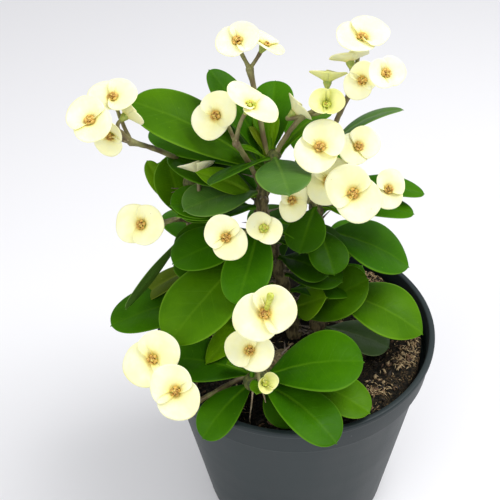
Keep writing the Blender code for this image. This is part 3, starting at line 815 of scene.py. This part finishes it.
def scattered(draw, dryness):
    """A random place on the soil. The drier the kind of crumb, the more of it lies near the rim at the right."""
    edge = wall_radius(POT_HEIGHT - BAND_HEIGHT) - WALL - 1.5
    while True:
        x, y = draw.uniform(-edge, edge), draw.uniform(-edge, edge)
        radius = math.hypot(x, y)
        if radius > edge:
            continue
        patch = 0.5 + noise.noise(Vector((x, y, 7)) * 0.09)
        wish = (radius / edge) ** 3 * (0.12 + 0.88 * smoothstep(x, 5, 45)) * 2.2 * smoothstep(patch, 0.42, 0.75)
        if draw.random() < 1 - dryness + dryness * wish:
            return x, y


def dryness(x, y):
    """Above 0 in the clumps of drier, paler mix, which are more common at the right of the pot."""
    return noise.noise(Vector((x, y, 20)) / 8) + x / 150 - 0.12


def make_crumbs():
    """Loose grit and bark chips on the soil."""
    draw = random.Random("crumbs")
    bm = new_mesh()
    for _ in range(900):
        x, y = scattered(draw, 0.5)
        size = draw.uniform(0.25, 0.95)
        lean = facing(draw.uniform(0, 360), draw.uniform(-30, 40))
        centre = Vector((x, y, soil_height(x, y) + size * 0.3))
        length = size * draw.uniform(1.0, 2.2)
        ends = [centre - lean * length, centre - lean * length * 0.4, centre + lean * length * 0.5, centre + lean * length]
        radii = [size * share * draw.uniform(0.7, 1.1) for share in (0.25, 0.8, 0.7, 0.2)]
        tube(bm, ends, radii, 5, material=draw.choice(DRY_MIX if dryness(x, y) > 0 else DARK_MIX))
    dark = plain_finish("dark_crumbs", (0.008, 0.006, 0.004), (0.034, 0.022, 0.012), 900, 0.9)
    bark = plain_finish("bark_chips", (0.06, 0.032, 0.016), (0.16, 0.09, 0.045), 800, 0.85)
    pale = plain_finish("dry_chips", (0.18, 0.125, 0.06), (0.38, 0.28, 0.15), 900, 0.85)
    finished(bm, "soil_crumbs", [dark, bark, pale])


def make_fibres():
    """Dry tan peat fibres that lie on the soil, mostly at its drier side."""
    draw = random.Random("fibres")
    bm = new_mesh()
    for _ in range(2200):
        x, y = scattered(draw, 0.97)
        if dryness(x, y) < 0:
            continue
        heading = draw.uniform(0, 2 * math.pi)
        bend = draw.uniform(-1.2, 1.2)
        length = draw.uniform(0.7, 2.6)
        points = []
        for step in range(5):
            turn = heading + bend * step / 4
            x += math.cos(turn) * length / 4
            y += math.sin(turn) * length / 4
            arch = 0.3 * math.sin(math.pi * step / 4)
            points.append(Vector((x, y, soil_height(x, y) + 0.25 + arch)))
        radius = draw.uniform(0.08, 0.2)
        tube(bm, points, [radius * share for share in (0.4, 1, 1, 0.8, 0.3)], 4, material=draw.choice((0, 0, 1)))
    tan = plain_finish("peat_fibre", (0.30, 0.21, 0.10), (0.55, 0.42, 0.23), 700, 0.8)
    rust = plain_finish("rusty_fibre", (0.14, 0.08, 0.035), (0.30, 0.19, 0.09), 700, 0.8)
    finished(bm, "soil_fibres", [tan, rust])


def make_roots():
    """The pale dry strands that hang from the front cane on to the soil and rim."""
    bm = new_mesh()
    strands = [
        [(-19, -41, 110), (-20, -45, 103), (-21, -47, 96), (-21, -48, 92.5)],
        [(-26, -47, 93), (-24, -50, 93.5), (-18, -50, 93), (-12, -53.5, 94), (-8, -55, 93)],
        [(-17, -40, 109), (-15, -43, 104), (-14, -46, 98)],
    ]
    for strand in strands:
        points = [on_spline(strand, step / 14) for step in range(15)]
        radii = [0.42 - 0.02 * step for step in range(15)]
        tube(bm, points, radii, 6, roughness=0.2)
    straw = plain_finish("dry_strand", (0.34, 0.25, 0.15), (0.60, 0.49, 0.33), 500, 0.75)
    finished(bm, "dry_strands", [straw])


# ---------------------------------------------------------------------------------------------
# Canes and flower stalks
# ---------------------------------------------------------------------------------------------


def head_row(head):
    return HEADS[head] if head in HEADS else SMALL_HEADS[head]


def heads_on(spray):
    return [head for head in (*HEADS, *SMALL_HEADS) if head_row(head)[0] == spray]


def add_peduncle(bm, spray):
    """The stalk from the cane to the fork of one spray, thicker at its joints."""
    cane, height, fork = SPRAYS[spray]
    start = cane_point(cane, height)
    end = Vector(fork)
    pull = start.lerp(end, 0.5) + Vector((0, 0, 3))
    shares = [index / STALK_RINGS for index in range(STALK_RINGS + 1)]
    points = [bezier(start, pull, end, share) for share in shares]
    swell = [0.55 * math.exp(-(((share - 1) / 0.07) ** 2)) + 0.3 * math.exp(-((share / 0.12) ** 2)) for share in shares]
    radii = [PEDUNCLE_RADIUS + extra for extra in swell]
    tube(bm, points, radii, STALK_SIDES, material=1, roughness=0.25)
    blob(bm, end, end - pull, (1.5, 1.5, 1.5), material=1)


def add_pedicel(bm, head):
    """The short stalk from the spray's fork to the back of one flower head."""
    spray, centre, azimuth, elevation, diameter = head_row(head)[:5]
    start = Vector(SPRAYS[spray][2])
    ahead = facing(azimuth, elevation)
    end = Vector(centre) - ahead * (CUP_LENGTH * cup_size(diameter) - 0.3)
    pull = end - ahead * (end - start).length * 0.45
    points = [bezier(start, pull, end, index / STALK_RINGS) for index in range(STALK_RINGS + 1)]
    radii = [PEDICEL_RADIUS * (1.25 - 0.25 * smoothstep(index, 0, 4)) for index in range(STALK_RINGS + 1)]
    tube(bm, points, radii, STALK_SIDES, material=1, roughness=0.15)
    scale = start.lerp(points[3], 0.6)
    blob(bm, scale, points[4] - start, (1.6, 0.9, 0.5), material=2)


def add_spine(bm, base, direction, length, draw):
    """One thorn: a thin cone that curves a little."""
    sideways = direction.orthogonal().normalized() * draw.uniform(-0.12, 0.12)
    points = [base + (direction + sideways * share) * length * share for share in (0, 0.15, 0.45, 0.8, 1)]
    tube(bm, points, [0.85, 0.5, 0.33, 0.18, 0.05], 6, material=3)


def make_cane(cane, finishes):
    """One thorny cane with its leaf scars and the flower stalks that grow from it."""
    draw = random.Random("cane " + cane)
    bm = new_mesh()
    path = CANES[cane]
    foot = Vector(path[0]) - Vector((0, 0, WELL_DEPTH))
    points = [foot, foot + Vector((0, 0, WELL_DEPTH * 0.6))]
    points += [on_spline(path, index / CANE_RINGS) for index in range(CANE_RINGS + 1)]
    radii = []
    for number, point in enumerate(points):
        knobs = 0.22 * math.sin(number * 0.9) + 0.2 * noise.noise(point * 0.3)
        radii.append(cane_radius(point.z) - 0.15 + knobs)
    ahead = (points[-1] - points[-2]).normalized()
    for reach, share in ((0.9, 0.85), (1.6, 0.55), (2.0, 0.2)):
        points.append(points[CANE_RINGS + 2] + ahead * reach)
        radii.append(radii[CANE_RINGS + 2] * share)
    tube(bm, points, radii, CANE_SIDES, roughness=0.5)
    height = path[0][2] + 3
    turn = draw.uniform(0, 360)
    while height < path[-1][2] - 6:
        core = cane_point(cane, height)
        turn += 137.5
        for spread in (-14, 14):
            out = facing(turn + spread + draw.uniform(-8, 8), draw.uniform(5, 35))
            base = core + out * (cane_radius(height) - 0.5)
            add_spine(bm, base, out, draw.uniform(4.5, 8.5), draw)
        scar = facing(turn, 5)
        blob(bm, core + scar * (cane_radius(height) - 0.2) - Vector((0, 0, 1)), scar, (0.55, 1.1, 0.9), material=0)
        height += SPINE_SPACING * draw.uniform(0.75, 1.2)
    for spray in [name for name in SPRAYS if SPRAYS[name][0] == cane]:
        add_peduncle(bm, spray)
        for head in heads_on(spray):
            add_pedicel(bm, head)
    finished(bm, "thorny_cane_" + cane, finishes, "cane_" + cane)


# ---------------------------------------------------------------------------------------------
# Leaves
# ---------------------------------------------------------------------------------------------


def leaf_half_width(share, width, pointed):
    """An obovate outline: narrow at the base, widest past the middle, with a round or pointed end."""
    rise, fall = (1.05, 0.78) if pointed else (0.95, 0.5)
    peak = rise / (rise + fall)
    share = min(max(share, 0), 1)
    shape = (share**rise) * ((1 - share) ** fall) / (peak**rise * (1 - peak) ** fall)
    return width / 2 * shape


def leaf_frame(cane, height, heading, pitch, roll):
    """Where a leaf starts, inside its cane's skin, and its directions: along, up from the blade, and across."""
    along = facing(heading, pitch)
    up = facing(heading, pitch + 90)
    across = along.cross(up)
    turn = math.radians(roll)
    up, across = up * math.cos(turn) + across * math.sin(turn), across * math.cos(turn) - up * math.sin(turn)
    core = cane_point(cane, height)
    axis = (cane_point(cane, height + 2) - cane_point(cane, height - 2)).normalized()
    outward = (along - axis * along.dot(axis)).normalized()
    start = core + outward * (cane_radius(height) + 0.6)
    return start, outward, along, up, across


def leaf_section(row, share, centre, directions, half, thick, waves):
    """One ring of points round the leaf, over the top from side to side and back underneath."""
    along, up, across = directions
    top, bottom = [], []
    steps = 2 * LEAF_COLUMNS
    for step in range(steps + 1):
        side = math.sin(math.pi / 2 * (2 * step / steps - 1))
        offset = half * side
        fold = LEAF_FOLD * half * abs(side) * smoothstep(share, 0, 0.2)
        droop = -0.10 * half * abs(side) ** 3
        wave = waves[0] * half * 0.05 * side * side * math.sin(share * waves[1] + waves[2] + side)
        rib = 0.18 * math.exp(-((offset / 0.7) ** 2)) * smoothstep(share, 0.05, 0.2)
        puff = 0.10 * math.sin(share * 28 - abs(side) * 5) * (1 - abs(side)) * min(half / 8, 1)
        place = centre + across * offset + up * (fold + droop + wave + puff)
        edge = math.sqrt(max(1 - side * side, 0.0))
        body = thick * (0.35 + 0.65 * edge) / 2
        noted = (share, abs(side), abs(offset))
        top.append((place + up * (body - rib), noted, 0))
        bottom.append((place - up * (body + rib * 1.6), noted, 1))
    return top + list(reversed(bottom))


def make_leaf(name, row, tone, finishes, node=None):
    """A fleshy arched blade on a short petiole that grows out of the cane, with a small point at its end."""
    cane, height, heading, pitch, length, width, arch, roll = row[:8]
    start, outward, along, up, across = leaf_frame(cane, height, heading, pitch, roll)
    draw = random.Random(name)
    waves = (draw.uniform(0.4, 1.0), draw.uniform(5, 9), draw.uniform(0, 6.3))
    pointed = name in POINTED_LEAVES
    bend = draw.uniform(-0.03, 0.03) * length
    inner = start - outward * 2.2
    rings = []
    for index, lead in enumerate((inner, inner.lerp(start, 0.5))):
        rings.append(leaf_section(index, 0, lead, (along, up, across), PETIOLE_HALF_WIDTH, 1.5, waves))
    for index in range(LEAF_ROWS + 1):
        share = 1 - (1 - index / LEAF_ROWS) ** 1.6
        half = leaf_half_width(share, width, pointed)
        half = max(half, PETIOLE_HALF_WIDTH * (1 - smoothstep(share, 0.1, 0.5)), 0.3)
        thick = 0.7 + 0.9 * (1 - smoothstep(share, 0.0, 0.2)) - 0.25 * smoothstep(share, 0.6, 1)
        lift = 4 * arch * share * (1 - share)
        sway = bend * math.sin(math.pi * share)
        centre = start + along * length * share + up * lift + across * sway
        rings.append(leaf_section(index, share, centre, (along, up, across), half, thick, waves))
    tip = start + along * (length + MUCRO * min(width / 20, 1)) - up * 0.25
    rings.append(leaf_section(LEAF_ROWS, 1, tip, (along, up, across), 0.12, 0.2, waves))
    bm = new_mesh()
    loft(bm, rings)
    finished(bm, "blade_" + name.removeprefix("leaf_"), [finishes[tone]], node)


# ---------------------------------------------------------------------------------------------
# Flower heads
# ---------------------------------------------------------------------------------------------


def cup_size(diameter):
    """How large the cup is against that of a full-grown head."""
    return 0.55 + 0.45 * min(diameter / FULL_HEAD, 1)


def bract_reach(angle, diameter):
    """How far one bract reaches from the head's centre, at this angle from its middle line.

    The bract is a disc that lies off to one side, and its edge turns in to the centre over the other bract.
    """
    spread, radius = 0.13 * diameter, 0.37 * diameter
    disc = spread * math.cos(angle) + math.sqrt(radius**2 - (spread * math.sin(angle)) ** 2)
    return disc * (1 - 0.7 * smoothstep(abs(angle), BRACT_TURN, BRACT_SPAN))


def add_bract(bm, head, middle, above, draw):
    """One broad bract: a thin shell that rises from the cup's throat and opens flat to a wavy round edge."""
    centre, frame_of_head, diameter, rise, young = head
    ahead, level_side, upright = frame_of_head
    throat = 1.15 * cup_size(diameter)
    phase, wobble = draw.uniform(0, 6.3), draw.uniform(0.7, 1.2)
    size = diameter / 20
    rings = []
    for step in range(BRACT_STEPS + 1):
        angle = BRACT_SPAN * (2 * step / BRACT_STEPS - 1)
        turned_angle = angle + middle
        outward = level_side * math.cos(turned_angle) + upright * math.sin(turned_angle)
        reach = bract_reach(angle, diameter) * (1 + 0.015 * math.sin(5 * angle + phase))
        reach = max(reach, throat + 0.3)
        overlap = size * (0.75 if above else -0.3) * smoothstep(abs(angle), 1.0, 1.9)
        top, bottom = [], []
        for ring in range(BRACT_RINGS + 1):
            share = ring / BRACT_RINGS
            radius = throat + (reach - throat) * share
            bowl = rise * share**1.5
            well = -1.7 * cup_size(diameter) * math.exp(-(radius - throat) / (1.3 * cup_size(diameter)))
            curl = -0.55 * size * smoothstep(share, 0.7, 1) * (0.4 + 0.6 * math.sin(2 * angle + phase)) * (not young)
            ripple = 0.32 * size * wobble * share**2 * math.sin(3 * angle + phase)
            crease = -0.35 * size * share * math.exp(-((angle / 0.22) ** 2))
            height = bowl + well + curl + ripple + crease + overlap * min(share * 1.6, 1)
            thick = 0.42 - 0.2 * share
            place = Vector(centre) + outward * radius
            noted = (radius / (diameter / 2), angle / math.pi, height)
            top.append((place + ahead * (height + thick / 2), noted, 0))
            bottom.append((place + ahead * (height - thick / 2), noted, 1))
        rings.append(top + list(reversed(bottom)))
    loft(bm, rings, material=0)


def add_cup(bm, head, draw):
    """The small green cup that carries the bracts, its five rounded glands and the stamens between them."""
    centre, frame_of_head, diameter, _, young = head
    ahead, level_side, upright = frame_of_head
    size = cup_size(diameter)
    levels = [(-CUP_LENGTH, 0.8), (-4.2, 0.95), (-3.0, 1.5), (-1.9, 1.95), (-0.8, 1.85), (-0.1, 1.6), (-0.3, 1.0), (-0.9, 0.4)]
    rings = []
    for height, radius in levels:
        ring = []
        for step in range(20):
            angle = 2 * math.pi * step / 20
            out = level_side * math.cos(angle) + upright * math.sin(angle)
            lobes = 1 + 0.05 * math.cos(5 * angle)
            ring.append((Vector(centre) + ahead * height * size + out * radius * lobes * size, (0, 0, 0), 0))
        rings.append(ring)
    loft(bm, rings, material=1)
    start = draw.uniform(0, 6.3)
    open_share = 0.75 if young else 1.0
    for number in range(5):
        angle = start + 2 * math.pi * number / 5
        out = level_side * math.cos(angle) + upright * math.sin(angle)
        around = upright * math.cos(angle) - level_side * math.sin(angle)
        place = Vector(centre) + ahead * draw.uniform(0.0, 0.3) * size + out * 1.5 * size * open_share
        grown = size * draw.uniform(0.85, 1.15)
        blob(bm, place, around + ahead * draw.uniform(-0.3, 0.3), (1.0 * grown, 0.7 * grown, 0.45 * grown), material=2)
    for number in range(12):
        angle = start + number * 2.4
        out = level_side * math.cos(angle) + upright * math.sin(angle)
        reach = 1.05 * size * math.sqrt(number / 12)
        root = Vector(centre) + ahead * -0.8 * size + out * reach * 0.5
        top = Vector(centre) + ahead * draw.uniform(0.15, 0.95) * size + out * reach
        tube(bm, [root, root.lerp(top, 0.5), top], [0.16 * size] * 3, 5, material=3)
        blob(bm, top, out + ahead, [0.36 * size * draw.uniform(0.8, 1.2)] * 3, material=3 if number % 3 else 4)


def add_side_bud(bm, head):
    """A young side bud that curls up out of the cup."""
    centre, frame_of_head, diameter, _, _ = head
    ahead, level_side, upright = frame_of_head
    root = Vector(centre) + upright * 1.4 + level_side * 0.6
    line = [
        root,
        root + upright * 2.4 + ahead * 2.2 + level_side * 0.9,
        root + upright * 4.6 + ahead * 3.4 + level_side * 1.6,
        root + upright * 5.6 + ahead * 4.6 + level_side * 1.0,
    ]
    points = [on_spline(line, step / 10) for step in range(11)]
    tube(bm, points, [0.9, 0.9, 0.95, 1.0, 1.1, 1.25, 1.4, 1.45, 1.35, 1.0, 0.5], 10, material=5)


def make_head(name, row, finishes, node=None):
    """One flower head: two overlapping round bracts about a small cup with its glands and stamens."""
    _, centre, azimuth, elevation, diameter, spin, rise = row
    young = HEAD_KINDS.get(name) == "young"
    ahead = facing(azimuth, elevation)
    level_side = Vector((-math.sin(math.radians(azimuth)), math.cos(math.radians(azimuth)), 0))
    upright = ahead.cross(level_side)
    head = (centre, (ahead, level_side, upright), diameter, rise, young)
    draw = random.Random(name)
    bm = new_mesh()
    first = math.radians(spin)
    upper = first if math.sin(first) > 0 else first + math.pi
    add_bract(bm, head, upper, True, draw)
    add_bract(bm, head, upper + math.pi, False, draw)
    add_cup(bm, head, draw)
    if name in BUDDING_HEADS:
        add_side_bud(bm, head)
    finished(bm, "flower_" + name.removeprefix("head_"), finishes[HEAD_KINDS.get(name, "cream")], node)


# ---------------------------------------------------------------------------------------------
# Floor, light and camera
# ---------------------------------------------------------------------------------------------


def make_floor():
    bm = bmesh.new()
    bmesh.ops.create_grid(bm, x_segments=8, y_segments=8, size=4)
    mesh = bpy.data.meshes.new("floor")
    bm.to_mesh(mesh)
    bm.free()
    mesh.materials.append(floor_finish())
    floor = bpy.data.objects.new("floor", mesh)
    floor.location.z = -0.0002
    bpy.context.scene.collection.objects.link(floor)


def area_light(name, place, target, size, power, colour=(1, 1, 1)):
    """A square soft light that faces its target."""
    light = bpy.data.lights.new(name, "AREA")
    light.shape = "SQUARE"
    light.size = size
    light.energy = power
    light.color = colour
    lamp = bpy.data.objects.new(name, light)
    lamp.location = place
    lamp.rotation_euler = (Vector(target) - Vector(place)).to_track_quat("-Z", "Y").to_euler()
    bpy.context.scene.collection.objects.link(lamp)


def make_lights():
    area_light("key_light", (0.31, 0.0, 0.68), (0, 0, 0.1), 0.42, KEY_POWER)
    area_light("fill_light", (-0.5, -0.5, 0.62), (0, 0, 0.08), 0.7, FILL_POWER)
    world = bpy.data.worlds.new("studio")
    world.use_nodes = True
    background = world.node_tree.nodes["Background"]
    background.inputs["Color"].default_value = (0.98, 0.98, 1.0, 1)
    background.inputs["Strength"].default_value = SKY_STRENGTH
    bpy.context.scene.world = world


def make_camera():
    """A camera half a metre away that looks down at the plant, tilted a little to one side."""
    camera = bpy.data.cameras.new("camera")
    camera.lens = LENS
    camera.sensor_width = 36
    holder = bpy.data.objects.new("camera", camera)
    pitch, roll = math.radians(CAMERA_PITCH), math.radians(CAMERA_ROLL)
    ahead = Vector((0, math.cos(pitch), -math.sin(pitch)))
    level = Vector((1, 0, 0))
    above = level.cross(ahead)
    side = level * math.cos(roll) + above * math.sin(roll)
    top = above * math.cos(roll) - level * math.sin(roll)
    matrix = Matrix((side, top, -ahead)).transposed().to_4x4()
    matrix.translation = Vector(CAMERA_PLACE) * MM
    holder.matrix_world = matrix
    bpy.context.scene.collection.objects.link(holder)
    bpy.context.scene.camera = holder


def make_canes():
    bark = bark_finish()
    stalk = plain_finish("flower_stalk", (0.14, 0.10, 0.045), (0.25, 0.24, 0.09), 260, 0.55, stretch=(1, 1, 0.4))
    scale = plain_finish("dry_scale", (0.22, 0.17, 0.08), (0.42, 0.36, 0.20), 600, 0.7)
    spine = plain_finish("spine", (0.10, 0.075, 0.055), (0.26, 0.21, 0.16), 500, 0.6)
    for cane in CANES:
        make_cane(cane, [bark, stalk, scale, spine])


def make_leaves():
    finishes = {tone: leaf_finish(tone) for tone in TONES}
    for name, row in LEAVES.items():
        make_leaf(name, row, LEAF_TONES.get(name, "mid"), finishes, node=name)
    for name, row in SMALL_LEAVES.items():
        make_leaf(name, row, row[8], finishes)


def make_heads():
    green = plain_finish("flower_cup", (0.24, 0.32, 0.05), (0.45, 0.50, 0.12), 500, 0.5, subsurface=0.1)
    gold = plain_finish("flower_gland", (0.46, 0.25, 0.035), (0.72, 0.47, 0.10), 900, 0.5, subsurface=0.1)
    lime = plain_finish("young_gland", (0.40, 0.44, 0.04), (0.62, 0.66, 0.10), 900, 0.4, subsurface=0.1)
    stamen = plain_finish("stamen", (0.36, 0.17, 0.03), (0.62, 0.36, 0.08), 900, 0.5)
    anther = plain_finish("anther", (0.55, 0.40, 0.06), (0.85, 0.68, 0.18), 900, 0.5)
    cream = bract_finish("bract_cream", (0.94, 0.93, 0.62), (0.93, 0.89, 0.40), (0.80, 0.62, 0.16))
    greenish = bract_finish("bract_young", (0.90, 0.89, 0.42), (0.72, 0.75, 0.20), (0.40, 0.46, 0.04))
    finishes = {
        "cream": [cream, green, gold, stamen, anther, lime],
        "green_eyed": [cream, green, lime, lime, anther, lime],
        "young": [greenish, green, lime, lime, anther, lime],
    }
    for name, row in HEADS.items():
        make_head(name, row, finishes, node=name)
    for name, row in SMALL_HEADS.items():
        make_head(name, row, finishes)


def main():
    make_pot()
    make_soil(soil_finish())
    make_crumbs()
    make_fibres()
    make_roots()
    make_canes()
    make_leaves()
    make_heads()
    make_floor()
    make_lights()
    make_camera()
    bpy.context.scene.view_settings.view_transform = "Standard"


main()
